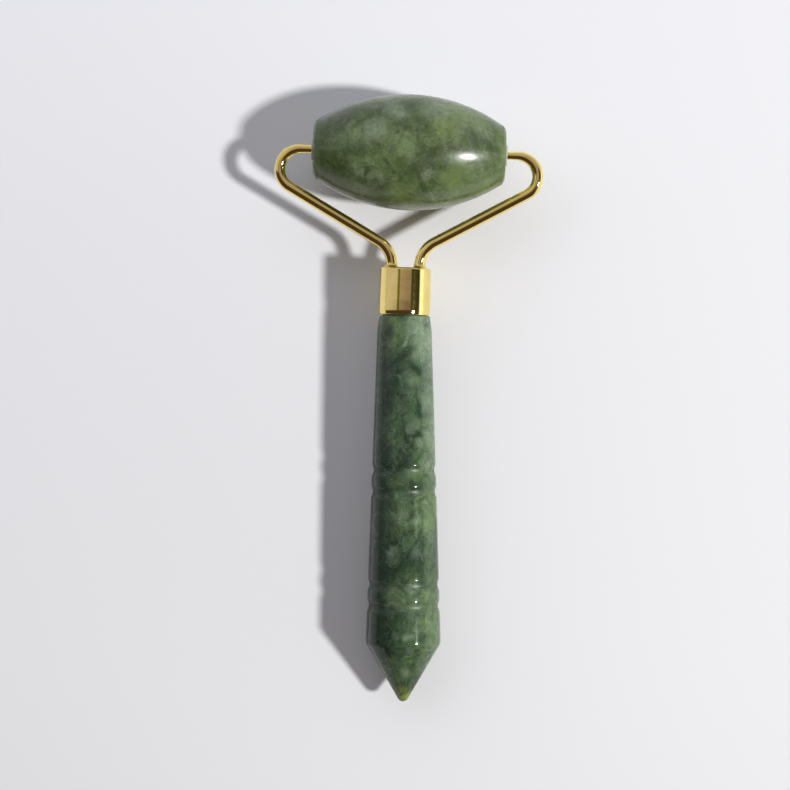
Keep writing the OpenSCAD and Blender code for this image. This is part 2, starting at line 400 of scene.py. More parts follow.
def barrel_outline():
    """The barrel with its bore. The bore's own wall closes the outline."""
    drop = ROLLER_RADIUS - ROLLER_END_RADIUS
    curve = (ROLLER_HALF**2 + drop**2) / (2 * drop)
    sweep_angle = atan2(ROLLER_HALF, curve - drop)
    barrel = []
    for step in range(1, BARREL_STEPS):
        angle = sweep_angle * (2 * step / BARREL_STEPS - 1)
        barrel.append((ROLLER_RADIUS - curve * (1 - cos(angle)), curve * sin(angle), 0))
    corners = [
        (BORE_RADIUS, -ROLLER_HALF + BORE_CHAMFER, 0),
        (BORE_RADIUS + BORE_CHAMFER, -ROLLER_HALF, BORE_EDGE),
        (ROLLER_END_RADIUS, -ROLLER_HALF, ROLLER_EDGE),
        *barrel,
        (ROLLER_END_RADIUS, ROLLER_HALF, ROLLER_EDGE),
        (BORE_RADIUS + BORE_CHAMFER, ROLLER_HALF, BORE_EDGE),
        (BORE_RADIUS, ROLLER_HALF - BORE_CHAMFER, 0),
    ]
    return ring_outline(corners, STONE_STEP)


# ---- the metal head ----


def ferrule_outline():
    """The drawn cup. Polishing has narrowed its top a little and rolled off its lower rim."""
    top, rim = FERRULE_TOP, FERRULE_TOP + FERRULE_LENGTH
    inside = FERRULE_RADIUS - FERRULE_WALL
    corners = [
        (0, top, 0),
        (FERRULE_RADIUS - FERRULE_POLISH, top, FERRULE_SHOULDER),
        (FERRULE_RADIUS, rim - LIP_TAPER, LIP_TAPER_ROUNDING),
        (FERRULE_RADIUS, rim - LIP_ROLL, LIP_ROLL_ROUNDING),
        (FERRULE_RADIUS - FERRULE_POLISH, rim, LIP_OUTER_EDGE),
        (inside, rim, LIP_INNER_EDGE),
        (inside, top + FERRULE_CAP, 0),
        (0, top + FERRULE_CAP, 0),
    ]
    return divided(rounded(corners), METAL_STEP)[::-1]


def cut_leg_holes(ferrule):
    """Drills the two holes for the legs through the ferrule's closed top."""
    top = FERRULE_TOP - DRILL_MARGIN
    bottom = FERRULE_TOP + FERRULE_CAP + DRILL_MARGIN
    hole = WIRE_RADIUS + LEG_CLEARANCE
    outline = [Vector((0, bottom)), Vector((hole, bottom)), Vector((hole, top)), Vector((0, top))]
    drills = []
    for side in (-1, 1):
        place = SOCKET @ Matrix.Translation((side * LEG_OFFSET, 0, 0))
        drills.append(lathe("leg_drill", outline, place, SMALL_SIDES))
    cut(ferrule, drills)


def walk(point, heading, moves, step):
    """Stations of (point, heading) along moves of (length, turn)."""
    stations = [(point.copy(), heading)]
    for length, turn in moves:
        parts = max(2, round(length / step))
        for _ in range(parts):
            heading += turn / parts / 2
            point = point + Vector((cos(heading), sin(heading))) * length / parts
            heading += turn / parts / 2
            stations.append((point.copy(), heading))
    return stations


def wire_path(side):
    """The wire from its pin's inner end to the foot of its leg; side is -1 left, 1 right."""
    arm = (
        SHOULDER_START - LEG_OFFSET - LEG_BEND + (SHOULDER_BEND + LEG_BEND) * sin(ARM_SLOPE)
    ) / cos(ARM_SLOPE)
    leg_start = (
        SHOULDER_BEND + (SHOULDER_BEND + LEG_BEND) * cos(ARM_SLOPE) + arm * sin(ARM_SLOPE)
    )
    pin_start = ROLLER_HALF - PIN_LENGTH
    step_start = ROLLER_HALF + FLANGE + BARE_PIN
    moves = [
        (PIN_POINT, 0),
        (step_start - pin_start - PIN_POINT, 0),
        (SHOULDER_START - step_start, 0),
        (SHOULDER_BEND * (pi - ARM_SLOPE), ARM_SLOPE - pi),
        (arm, 0),
        (LEG_BEND * (pi / 2 - ARM_SLOPE), pi / 2 - ARM_SLOPE),
        (FERRULE_TOP + LEG_DEPTH - leg_start, 0),
    ]
    swell_end = SHOULDER_START + SHOULDER_BEND
    path = []
    for point, heading in walk(Vector((pin_start, 0)), 0.0, moves, METAL_STEP):
        radius = WIRE_RADIUS
        if point.y > -SHOULDER_BEND:
            swell = min(1.0, max(0.0, (point.x - step_start) / (swell_end - step_start)))
            radius = PIN_RADIUS + (WIRE_RADIUS - PIN_RADIUS) * swell * swell * (3 - 2 * swell)
            radius -= max(0.0, pin_start + PIN_POINT - point.x)
        if side < 0:
            point = Vector((-point.x, point.y))
            heading = pi - heading
        path.append((point, heading, radius))
    return path


def solder_outline():
    """A collar with a hollow flank, from the ferrule's top up the leg."""
    inside = WIRE_RADIUS - SOLDER_OVERLAP
    outline = [Vector((inside, 0)), Vector((inside, -SOLDER_HEIGHT))]
    for step in range(SOLDER_STEPS + 1):
        angle = pi / 2 * step / SOLDER_STEPS
        outline.append(Vector((
            WIRE_RADIUS + SOLDER_WIDTH * (1 - cos(angle)),
            -SOLDER_HEIGHT * (1 - sin(angle)),
        )))
    return outline[::-1]


def bush_outline():
    """The right-hand bush, with its flange outside the bore."""
    inner_end = ROLLER_HALF - BUSH_LENGTH
    outer_end = ROLLER_HALF + FLANGE
    body_radius = BORE_RADIUS - BUSH_PRESS
    corners = [
        (BUSH_HOLE_RADIUS, inner_end, BUSH_HOLE_EDGE),
        (body_radius, inner_end, BUSH_LEAD_IN),
        (body_radius, ROLLER_HALF, 0),
        (FLANGE_RADIUS, ROLLER_HALF, FLANGE_BACK_EDGE),
        (FLANGE_RADIUS, outer_end, FLANGE_EDGE),
        (BUSH_HOLE_RADIUS, outer_end, BUSH_HOLE_EDGE),
    ]
    return ring_outline(corners, BUSH_STEP)


# ---- materials ----


class Nodes:
    """Adds nodes to a tree. Most methods return the output of the node that they add."""

    def __init__(self, tree):
        self.tree = tree

    def add(self, kind, inputs=None, **settings):
        """Adds a shader node and feeds its inputs. It returns the node itself."""
        node = self.tree.nodes.new("ShaderNode" + kind)
        for name, value in settings.items():
            setattr(node, name, value)
        for key, value in (inputs or {}).items():
            self.feed(node.inputs[key], value)
        return node

    def feed(self, socket, value):
        """Links an output to a socket, or sets a plain value on it."""
        if isinstance(value, bpy.types.NodeSocket):
            self.tree.links.new(value, socket)
        else:
            socket.default_value = value

    def math(self, operation, *values):
        return self.add("Math", dict(enumerate(values)), operation=operation).outputs[0]

    def vector(self, operation, *values):
        return self.add("VectorMath", dict(enumerate(values)), operation=operation).outputs[0]

    def noise(self, place, scale, detail=3, roughness=0.5, seed=0.0, color=False):
        inputs = {
            "Vector": place,
            "W": seed,
            "Scale": scale,
            "Detail": detail,
            "Roughness": roughness,
        }
        node = self.add("TexNoise", inputs, noise_dimensions="4D")
        return node.outputs[1 if color else 0]

    def local_place(self):
        """The surface point in its piece's own local frame, in millimetres."""
        return self.add("Attribute", attribute_name="local").outputs["Vector"]

    def rise(self, value, start, end, low=0.0, high=1.0):
        """Goes smoothly from low to high as value goes from start to end."""
        inputs = {"Value": value, "From Min": start, "From Max": end, "To Min": low, "To Max": high}
        return self.add("MapRange", inputs, interpolation_type="SMOOTHSTEP").outputs[0]

    def mix(self, share, a, b, blend_type="MIX"):
        inputs = {0: share, 6: a, 7: b}
        return self.add("Mix", inputs, data_type="RGBA", blend_type=blend_type).outputs[2]

    def warped(self, place, scale, amount, seed):
        """The same place, pushed about by noise."""
        push = self.noise(place, scale, 4, 0.55, seed, color=True)
        centred = self.vector("SUBTRACT", push, (0.5, 0.5, 0.5))
        return self.vector("ADD", place, self.vector("MULTIPLY", centred, (amount,) * 3))

    def ridge(self, field, width, strength):
        """Thin lines where a noise field passes its middle value."""
        middle = self.math("ABSOLUTE", self.math("SUBTRACT", field, 0.5))
        return self.rise(middle, width, 0.0, 0.0, strength)

    def dots(self, place, scale, radius, rarity):
        """Scattered round dots: a rarity near 1 leaves few of them."""
        spots = self.add("TexVoronoi", {"Vector": place, "Scale": scale}).outputs
        chosen = self.add("SeparateColor", {0: spots["Color"]}).outputs[0]
        kept = self.rise(chosen, rarity, rarity + 0.03)
        return self.math("MULTIPLY", self.rise(spots["Distance"], radius, radius * 0.35), kept)

    def gap(self, place, centre):
        return self.add("VectorMath", {0: place, 1: centre}, operation="DISTANCE").outputs["Value"]

    def gap_to_line(self, place, start, end):
        """Distance from the line between two points."""
        along = Vector(end) - Vector(start)
        offset = self.vector("SUBTRACT", place, start)
        scaled = along / along.length_squared
        reach = self.add("VectorMath", {0: offset, 1: scaled}, operation="DOT_PRODUCT")
        share = self.math("MINIMUM", self.math("MAXIMUM", reach.outputs["Value"], 0.0), 1.0)
        return self.gap(offset, self.scaled(tuple(along), share))

    def scaled(self, value, share):
        return self.add("VectorMath", {0: value, "Scale": share}, operation="SCALE").outputs[0]

    def bump(self, height, distance, strength=1.0, normal=None):
        inputs = {"Height": height, "Distance": distance, "Strength": strength}
        if normal:
            inputs["Normal"] = normal
        return self.add("Bump", inputs).outputs[0]


def new_material(name, **values):
    """A material, its Principled shader with these values set, and its node adder."""
    material = bpy.data.materials.new(name)
    material.use_nodes = True
    surface = material.node_tree.nodes["Principled BSDF"]
    for key, value in values.items():
        surface.inputs[key.replace("_", " ")].default_value = value
    return material, surface, Nodes(material.node_tree)


def color(red, green, blue):
    return (red, green, blue, 1.0)


def jade(name, tones, clouds, streaks, seed, polish, gloss, lap_depth, peel_depth, subsurface_scale):
    """Polished jade: cloudy tones, fibres, veins, specks, and listed clouds and streaks, among them
    painted shade, painted light, a painted highlight and a painted glow.
    """
    material, surface, nodes = new_material(
        name,
        IOR=1.52,
        Specular_IOR_Level=0.3,
        Coat_Weight=gloss,
        Coat_Roughness=0.15,
        Subsurface_Weight=0.12,
        Subsurface_Radius=(0.7, 1.0, 0.4),
        Subsurface_Scale=subsurface_scale,
    )
    place = nodes.local_place()
    drift = nodes.warped(place, 0.11, 9.0, seed)
    swirl = nodes.warped(drift, 0.5, 2.0, seed + 1)
    ragged = nodes.warped(place, 0.3, 3.4, seed + 2)

    depth = nodes.noise(drift, 0.13, 8, 0.6, seed + 3)
    tone = nodes.mix(nodes.rise(depth, 0.36, 0.64), tones["deep"], tones["mid"])
    warmth = nodes.noise(drift, 0.1, 6, 0.55, seed + 4)
    tone = nodes.mix(nodes.rise(warmth, 0.5, 0.72, 0.0, 0.8), tone, tones["warm"])
    milkiness = nodes.noise(swirl, 0.16, 7, 0.6, seed + 5)
    tone = nodes.mix(nodes.rise(milkiness, 0.52, 0.72, 0.0, 0.7), tone, tones["milk"])

    patches = nodes.rise(nodes.noise(swirl, 0.75, 5, 0.6, seed + 6), 0.3, 0.6, 0.5, 1.0)
    # Listed clouds; the handle's tip cloud is a painted glow.
    for kind, centre, size, strength in clouds:
        share = nodes.rise(nodes.gap(ragged, centre), size * 1.4, size * 0.2, 0.0, strength)
        tone = nodes.mix(nodes.math("MULTIPLY", share, patches), tone, tones[kind])
    wavy = nodes.warped(place, 0.45, 1.3, seed + 15)
    # Listed streaks; some are painted shade on the stones' shaded sides, painted light on the
    # handle's lit side and a painted highlight on the roller.
    for kind, start, end, width, strength in streaks:
        share = nodes.rise(nodes.gap_to_line(wavy, start, end), width, width * 0.15, 0.0, strength)
        tone = nodes.mix(nodes.math("MULTIPLY", share, patches), tone, tones[kind])

    vein = nodes.ridge(nodes.noise(swirl, 0.12, 5, 0.6, seed + 7), 0.016, 0.5)
    tone = nodes.mix(vein, tone, tones["vein"])
    crack = nodes.ridge(nodes.noise(ragged, 0.3, 4, 0.65, seed + 8), 0.011, 0.4)
    tone = nodes.mix(crack, tone, tones["vein"])
    thread = nodes.ridge(nodes.noise(drift, 0.24, 4, 0.6, seed + 9), 0.01, 0.35)
    tone = nodes.mix(thread, tone, tones["milk"])

    mottle = nodes.rise(nodes.noise(swirl, 0.8, 7, 0.65, seed + 10), 0.3, 0.7, 0.78, 1.22)
    fibre = nodes.noise(nodes.vector("MULTIPLY", swirl, (2.2, 2.2, 0.7)), 1.0, 3, 0.6, seed + 11)
    shade = nodes.math("MULTIPLY", mottle, nodes.rise(fibre, 0.3, 0.7, 0.9, 1.1))
    tone = nodes.scaled(tone, shade)
    tone = nodes.mix(nodes.dots(place, 0.42, 0.13, 0.86), tone, tones["speck"])
    nodes.feed(surface.inputs["Base Color"], tone)

    wear = nodes.add("Attribute", attribute_name="wear").outputs["Fac"]
    hollow = nodes.rise(wear, -0.1, -0.5, 0.0, 0.3)
    buffed = nodes.rise(nodes.noise(place, 0.35, 5, 0.6, seed + 12), 0.3, 0.75, *polish)
    nodes.feed(surface.inputs["Roughness"], nodes.math("ADD", buffed, hollow))

    lap = nodes.noise(place, 0.45, 2, 0.5, seed + 13)
    peel = nodes.noise(place, 1.7, 2, 0.5, seed + 16)
    grain = nodes.noise(place, 6.0, 3, 0.6, seed + 14)
    pit = nodes.math("MULTIPLY", nodes.dots(place, 1.1, 0.16, 0.9), -1.0)
    normal = nodes.bump(lap, lap_depth * MM)
    normal = nodes.bump(peel, peel_depth * MM, normal=normal)
    normal = nodes.bump(grain, peel_depth * 0.2 * MM, normal=normal)
    normal = nodes.bump(pit, 0.03 * MM, normal=normal)
    nodes.feed(surface.inputs["Normal"], normal)
    return material


def gold_plate():
    """Mirror-polished gold plate with fine wipe marks and small dimples in the plating."""
    material, surface, nodes = new_material("gold_plate", Metallic=1.0)
    place = nodes.local_place()
    cloud = nodes.rise(nodes.noise(place, 0.5, 4, 0.6, 1.0), 0.35, 0.7)
    tone = nodes.mix(cloud, color(0.93, 0.73, 0.24), color(0.99, 0.80, 0.30))
    nodes.feed(surface.inputs["Base Color"], tone)
    haze = nodes.noise(place, 1.4, 5, 0.65, 2.0)
    nodes.feed(surface.inputs["Roughness"], nodes.rise(haze, 0.35, 0.75, 0.05, 0.07))
    wave = nodes.noise(place, 0.7, 2, 0.5, 3.0)
    dimple = nodes.noise(place, 3.5, 3, 0.6, 4.0)
    normal = nodes.bump(wave, 0.008 * MM)
    normal = nodes.bump(dimple, 0.003 * MM, normal=normal)
    nodes.feed(surface.inputs["Normal"], normal)
    return material


def nylon():
    """Natural nylon, slightly cloudy and scuffed."""
    material, surface, nodes = new_material(
        "nylon", IOR=1.53, Subsurface_Weight=0.3, Subsurface_Scale=0.5 * MM
    )
    place = nodes.local_place()
    cloud = nodes.noise(place, 0.8, 4, 0.6, 1.0)
    tone = nodes.mix(cloud, color(0.42, 0.41, 0.36), color(0.54, 0.53, 0.47))
    nodes.feed(surface.inputs["Base Color"], tone)
    scuff = nodes.noise(place, 2.5, 4, 0.6, 2.0)
    nodes.feed(surface.inputs["Roughness"], nodes.rise(scuff, 0.3, 0.7, 0.32, 0.5))
    nodes.feed(surface.inputs["Normal"], nodes.bump(nodes.noise(place, 5.0, 3, 0.6, 3.0), 0.01 * MM))
    return material


def epoxy():
    """Amber epoxy glue, with a lumpy skin where it was squeezed out."""
    material, surface, nodes = new_material("epoxy", IOR=1.55)
    place = nodes.vector("MULTIPLY", nodes.add("TexCoord").outputs["Object"], (1 / MM,) * 3)
    cloud = nodes.noise(place, 0.6, 4, 0.6, 1.0)
    tone = nodes.mix(cloud, color(0.34, 0.29, 0.17), color(0.55, 0.49, 0.33))
    nodes.feed(surface.inputs["Base Color"], tone)
    gloss = nodes.noise(place, 1.5, 3, 0.6, 2.0)
    nodes.feed(surface.inputs["Roughness"], nodes.rise(gloss, 0.3, 0.7, 0.2, 0.4))
    nodes.feed(surface.inputs["Normal"], nodes.bump(nodes.noise(place, 1.2, 3, 0.6, 3.0), 0.08 * MM))
    return material


# ---- tones, clouds and streaks of the stones, among them painted shade, painted light, a painted highlight and a painted glow; lengths in millimetres ----

# On the front of the barrel: (tone, up the head, to the right, size, strength).
ROLLER_CLOUDS = [
    ("ash", 6.2, -15.5, 3.2, 0.9),
    ("deep", 2.2, -18.5, 2.6, 0.5),
    ("milk", 3.6, -7.8, 3.2, 0.8),
    ("milk", 7.8, -2.8, 2.4, 0.8),
    ("ash", 9.0, -6.5, 2.6, 0.5),
    ("milk", 8.4, 5.2, 3.6, 0.7),
    ("warm", 4.6, 7.6, 3.2, 0.9),
    ("ash", 3.8, 13.0, 4.6, 0.4),
    ("deep", -0.2, -11.6, 2.6, 0.8),
    ("deep", -3.9, -15.2, 3.2, 0.9),
    ("warm", -2.6, -19.6, 1.7, 0.9),
    ("mid", 1.5, -1.5, 3.4, 0.6),
    ("deep", -1.6, -6.2, 1.8, 0.4),
    ("milk", -5.2, -10.6, 1.5, 0.7),
    ("mid", -4.8, -4.4, 2.6, 0.7),
    ("milk", -5.3, 3.8, 1.8, 0.8),
    ("ash", -3.0, 4.4, 1.6, 0.5),
    ("olive", -8.6, -13.0, 2.8, 0.8),
    ("olive", -9.8, -7.5, 2.0, 0.7),
    ("warm", -9.6, -2.4, 3.2, 0.8),
    ("deep", -8.4, 3.2, 1.5, 0.6),
    ("mid", -5.4, 13.5, 4.0, 0.6),
    ("warm", -6.8, 9.0, 2.4, 0.6),
    ("warm", -7.4, 17.6, 2.0, 0.7),
    ("milk", -3.0, 14.4, 3.0, 0.5),
    ("warm", -4.4, 11.5, 4.4, 0.4),
    ("milk", -2.2, 0.6, 2.4, 0.35),
    ("speck", 3.2, -2.5, 0.45, 1.0),
    ("speck", 0.4, -6.4, 0.35, 0.9),
]

# On the front of the barrel: (tone, start and end as (up, right), width, strength).
ROLLER_STREAKS_AND_PAINTED_SHADING = [
    # Painted shade: this deep streak darkens the roller's left end, which faces away from the key
    # light.
    ("deep", (4.8, -17.6), (-5.2, -17.2), 7.5, 0.9),
    ("vein", (4.6, -11.8), (8.6, -6.2), 1.0, 0.9),
    ("vein", (10.4, -1.0), (4.2, -1.0), 1.1, 0.8),
    ("vein", (6.3, 1.4), (1.0, 1.8), 0.8, 0.7),
    ("vein", (-2.4, -5.2), (-5.2, -3.4), 0.8, 0.8),
    ("vein", (-4.6, -9.0), (-7.8, -9.6), 0.9, 0.8),
    ("vein", (-3.6, 1.0), (-8.8, 3.4), 1.0, 0.8),
    ("milk", (-3.6, -11.8), (-6.4, -9.8), 0.5, 0.6),
    ("milk", (-2.9, -9.4), (-3.8, -6.8), 0.4, 0.6),
    ("milk", (-9.0, 5.0), (-10.6, 5.6), 0.4, 0.7),
    # Painted highlight: this milk streak is a soft sheen trailing right of the key light's
    # highlight.
    ("milk", (0.1, 15.4), (-0.4, 18.6), 0.4, 0.6),
    ("milk", (-7.8, 11.2), (-5.6, 18.4), 0.45, 0.4),
]

# On the front of the handle: (tone, to the right, down the handle, size, strength).
HANDLE_CLOUDS_AND_PAINTED_GLOW = [
    ("deep", -3.4, 39.0, 1.5, 0.9),
    ("milk", 4.4, 41.0, 4.2, 1.0),
    ("milk", 3.8, 37.4, 4.0, 1.0),
    ("milk", 3.2, 44.8, 1.5, 0.7),
    ("ash", 5.2, 46.4, 1.6, 0.7),
    ("deep", -2.0, 46.5, 2.6, 0.5),
    ("ash", -3.9, 48.4, 1.6, 0.4),
    ("warm", 3.0, 49.8, 1.8, 0.7),
    ("milk", 1.4, 48.8, 1.4, 0.5),
    ("milk", 2.8, 51.6, 2.6, 0.4),
    ("milk", 5.0, 54.5, 2.2, 0.5),
    ("milk", 2.2, 59.2, 1.7, 0.6),
    ("milk", 5.5, 62.0, 2.2, 0.6),
    ("milk", 3.0, 63.2, 1.1, 0.7),
    ("deep", -1.1, 64.5, 2.0, 0.8),
    ("deep", 1.0, 66.6, 1.7, 0.8),
    ("milk", 4.8, 67.8, 1.8, 0.7),
    ("olive", -1.4, 71.4, 1.8, 0.6),
    ("warm", 4.0, 76.0, 1.6, 0.6),
    ("milk", -0.8, 78.6, 1.9, 0.6),
    ("milk", 2.7, 79.6, 1.2, 0.7),
    ("warm", 5.5, 80.4, 2.2, 0.9),
    ("olive", -1.4, 82.4, 1.6, 0.6),
    ("ash", 5.9, 83.8, 1.4, 0.6),
    ("deep", 4.8, 84.9, 2.0, 0.9),
    ("ash", 2.6, 86.7, 1.2, 0.7),
    ("deep", 0.6, 88.0, 2.4, 0.7),
    ("deep", -4.0, 90.2, 3.0, 0.8),
    ("milk", 2.0, 94.0, 1.5, 0.6),
    ("warm", 4.8, 95.9, 1.6, 0.8),
    ("olive", 1.4, 96.6, 1.0, 0.7),
    ("deep", -5.2, 100.4, 2.0, 0.9),
    ("ash", 1.7, 100.4, 0.9, 0.6),
    ("mid", 0.6, 103.0, 2.8, 0.8),
    ("milk", 3.2, 102.8, 1.8, 0.5),
    ("warm", 5.0, 101.6, 2.6, 0.9),
    ("milk", 1.2, 104.6, 1.2, 0.7),
    ("milk", -1.6, 104.8, 1.0, 0.4),
    ("deep", 3.2, 107.9, 0.9, 0.8),
    ("ash", 1.4, 107.6, 1.0, 0.6),
    ("olive", -3.0, 110.0, 1.2, 0.8),
    ("olive", -1.5, 113.4, 0.9, 0.8),
    ("milk", 0.3, 112.8, 1.5, 0.5),
    ("warm", 2.0, 113.8, 1.0, 0.6),
    # Painted glow: this tip cloud stands in for light shining through the thin tip.
    ("tip", 0.0, 119.4, 3.6, 1.0),
]

# On the front of the handle: (tone, start and end as (right, down the handle), width, strength).
HANDLE_STREAKS_AND_PAINTED_SHADING = [
    # Painted shade: these two deep streaks darken the handle's left side, which faces away from the
    # key light.
    ("deep", (-4.8, 40.0), (-5.6, 106.0), 4.0, 0.55),
    ("deep", (-5.4, 66.0), (-6.8, 106.0), 4.6, 1.0),
    # Painted light: these milk and warm streaks lighten the handle's right side, which faces the key
    # light.
    ("milk", (4.6, 36.0), (6.4, 68.0), 3.4, 0.5),
    ("warm", (4.8, 70.0), (6.8, 106.0), 3.0, 0.4),
    ("milk", (1.8, 37.2), (-0.1, 42.2), 0.7, 0.7),
    ("deep", (0.8, 42.8), (-2.8, 46.2), 1.4, 0.7),
    ("vein", (2.4, 51.0), (3.4, 57.0), 0.6, 0.5),
    ("vein", (-0.5, 57.0), (0.6, 63.0), 0.5, 0.5),
    ("milk", (2.6, 76.5), (2.8, 83.0), 0.6, 0.5),
    ("vein", (3.8, 82.0), (0.6, 87.5), 0.7, 0.6),
    ("vein", (-0.4, 92.0), (1.2, 99.0), 0.5, 0.5),
]


def on_barrel(up, right):
    """A place on the front of the barrel, in its local frame."""
    drop = ROLLER_RADIUS - ROLLER_END_RADIUS
    radius = ROLLER_RADIUS - drop * (right / ROLLER_HALF) ** 2
    return up, sqrt(max(0.0, radius**2 - up**2)), right


def on_handle(right, distance):
    """A place on the front of the handle, in its local frame."""
    past = max(0.0, distance - WIDEST_DISTANCE)
    radius = max(0.0, taper_radius(min(distance, WIDEST_DISTANCE)) - past * tan(POINT_ANGLE))
    return right, sqrt(max(0.0, radius**2 - right**2)), distance


def placed_clouds(clouds, on_stone):
    """The clouds with their places in the stone's local frame."""
    return [(tone, on_stone(a, b), size, strength) for tone, a, b, size, strength in clouds]


def placed_streaks(streaks, on_stone):
    """The streaks with their ends in the stone's local frame."""
    return [
        (tone, on_stone(*start), on_stone(*end), width, strength)
        for tone, start, end, width, strength in streaks
    ]


ROLLER_TONES = {
    "deep": color(0.047, 0.072, 0.021),
    "mid": color(0.140, 0.195, 0.080),
    "warm": color(0.145, 0.200, 0.060),
    "milk": color(0.200, 0.240, 0.158),
    "ash": color(0.090, 0.102, 0.080),
    "olive": color(0.082, 0.100, 0.023),
    "vein": color(0.050, 0.076, 0.029),
    "speck": color(0.020, 0.030, 0.015),
}

HANDLE_TONES = {
    "deep": color(0.019, 0.038, 0.021),
    "mid": color(0.064, 0.108, 0.054),
    "warm": color(0.125, 0.190, 0.080),
    "milk": color(0.185, 0.252, 0.160),
    "ash": color(0.115, 0.142, 0.130),
    "olive": color(0.062, 0.088, 0.028),
    "vein": color(0.014, 0.026, 0.017),
    "speck": color(0.008, 0.014, 0.010),
    # Painted glow: the tip tone stands in for light shining through the thin tip.
    "tip": color(0.205, 0.240, 0.065),
}


# ---- building ----


def finish_piece(piece, material, body, slot, *nodes):
    """Gives a piece its material and its body, and hides the CAD nodes that it replaces. Its slot is
    not used.
    """
    piece.data.materials.clear()
    piece.data.materials.append(material)
    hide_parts(*nodes)
    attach(piece, body)


gold = gold_plate()
white_nylon = nylon()

handle = lathe(
    "jade_handle", handle_outline(), SHAFT, HANDLE_SIDES, waviness=HANDLE_WAVES, seed=3
)
handle_material = jade(
    "handle_jade",
    HANDLE_TONES,
    placed_clouds(HANDLE_CLOUDS_AND_PAINTED_GLOW, on_handle),
    placed_streaks(HANDLE_STREAKS_AND_PAINTED_SHADING, on_handle),
    seed=20.0,
    polish=(0.066, 0.08),
    gloss=0.0,
    lap_depth=0.008,
    peel_depth=0.0015,
    subsurface_scale=2.0 * MM,
)
finish_piece(handle, handle_material, "handle", "handle_jade", "handle_stone")

barrel = lathe(
    "jade_barrel",
    barrel_outline(),
    BARREL,
    BARREL_SIDES,
    closed=True,
    waviness=BARREL_WAVES,
    seed=9,
)
barrel_material = jade(
    "roller_jade",
    ROLLER_TONES,
    placed_clouds(ROLLER_CLOUDS, on_barrel),
    placed_streaks(ROLLER_STREAKS_AND_PAINTED_SHADING, on_barrel),
    seed=40.0,
    polish=(0.24, 0.34),
    gloss=0.34,
    lap_depth=0.04,
    peel_depth=0.014,
    subsurface_scale=2.5 * MM,
)
finish_piece(barrel, barrel_material, "roller", "roller_jade", "roller_stone")

ferrule = lathe("gilt_ferrule", ferrule_outline(), SOCKET, FERRULE_SIDES)
cut_leg_holes(ferrule)
finish_piece(ferrule, gold, "handle", "gold_plate", "ferrule")

for side, word in ((-1, "left"), (1, "right")):
    arm = sweep("gilt_arm_" + word, wire_path(side), HEAD, WIRE_SIDES)
    finish_piece(arm, gold, "handle", "gold_plate", "wire_arm_" + word)
    place = SOCKET @ Matrix.Translation((side * LEG_OFFSET, 0, FERRULE_TOP))
    collar = lathe("solder_collar_" + word, solder_outline(), place, SMALL_SIDES, closed=True)
    finish_piece(collar, gold, "handle", "gold_plate", "solder_collars")
    turned = BARREL if side > 0 else BARREL @ Matrix.Rotation(pi, 4, "X")
    bush = lathe("nylon_bush_" + word, bush_outline(), turned, BUSH_SIDES, closed=True)
    finish_piece(bush, white_nylon, "roller", "nylon", "bush_" + word)

adhesive = frame["nodes"]["adhesive"]
adhesive.data.materials.clear()
adhesive.data.materials.append(epoxy())

# ---- stage, light and camera; lengths in metres ----

# Floor tones; the ones in front and far away are painted shade.
FLOOR_TONE = (0.81, 0.81, 0.825)
FLOOR_PAINTED_SHADE_IN_FRONT = (0.775, 0.775, 0.79)
FLOOR_PAINTED_SHADE_FAR_AWAY = (0.42, 0.42, 0.44)


def floor():
    """A plain pale floor with painted shade: a little darker to the left and in front, and darker
    far away, where the lamps' light falls off.
    """
    half = 1.5
    mesh = bpy.data.meshes.new("floor")
    corners = [(-half, -half, 0), (half, -half, 0), (half, half, 0), (-half, half, 0)]
    mesh.from_pydata(corners, [], [(0, 1, 2, 3)])
    piece = bpy.data.objects.new("floor", mesh)
    bpy.context.scene.collection.objects.link(piece)
    material, surface, nodes = new_material("pale_floor", Roughness=0.7, Specular_IOR_Level=0.2)
    place = nodes.add("TexCoord").outputs["Object"]
    across_table, down_table, _ = nodes.add("SeparateXYZ", {0: place}).outputs
    # Painted shade: the floor darkens towards the front.
    fall = nodes.rise(down_table, -0.14, -0.05)
    near = nodes.mix(fall, color(*FLOOR_PAINTED_SHADE_IN_FRONT), color(*FLOOR_TONE))
    # Painted shade and light: the floor darkens to the left and brightens to the right, as the key
    # light falls off.
    shade = nodes.rise(across_table, -0.14, 0.14, 0.915, 1.055)
    near = nodes.scaled(near, shade)
    # Painted shade: the floor darkens far away from the lamps.
    far = nodes.rise(nodes.gap(place, (0, 0, 0)), 0.2, 0.9)
    tone = nodes.mix(far, near, color(*FLOOR_PAINTED_SHADE_FAR_AWAY))
    nodes.feed(surface.inputs["Base Color"], tone)
    piece.data.materials.append(material)


KEY_DIRECTION = Vector((0.663, -0.172, 0.729)).normalized()
KEY_DISTANCE = 3.0
KEY_DIAMETER = 0.28
KEY_STRENGTH = 2.95
KEY_COLOR = (1.0, 1.0, 1.0)
FILL_PLACE = Vector((-0.10, 0.20, 0.14))
FILL_DIAMETER = 0.4
FILL_STRENGTH = 0.81
FILL_COLOR = (0.86, 1.0, 1.27)

# Light round the object, by the angle from straight up towards +X, in degrees.
SKY = [
    (-100, (0.58, 0.56, 0.62)),
    (-40, (0.57, 0.54, 0.62)),
    (-34, (0.54, 0.50, 0.58)),
    (-31, (0.15, 0.17, 0.04)),
    (-24, (0.15, 0.17, 0.04)),
    (-21, (0.42, 0.36, 0.42)),
    (26, (0.36, 0.30, 0.36)),
    (31, (0.03, 0.04, 0.02)),
    (68, (0.03, 0.04, 0.02)),
    (75, (1.46, 1.46, 1.54)),
    (105, (1.46, 1.46, 1.54)),
]
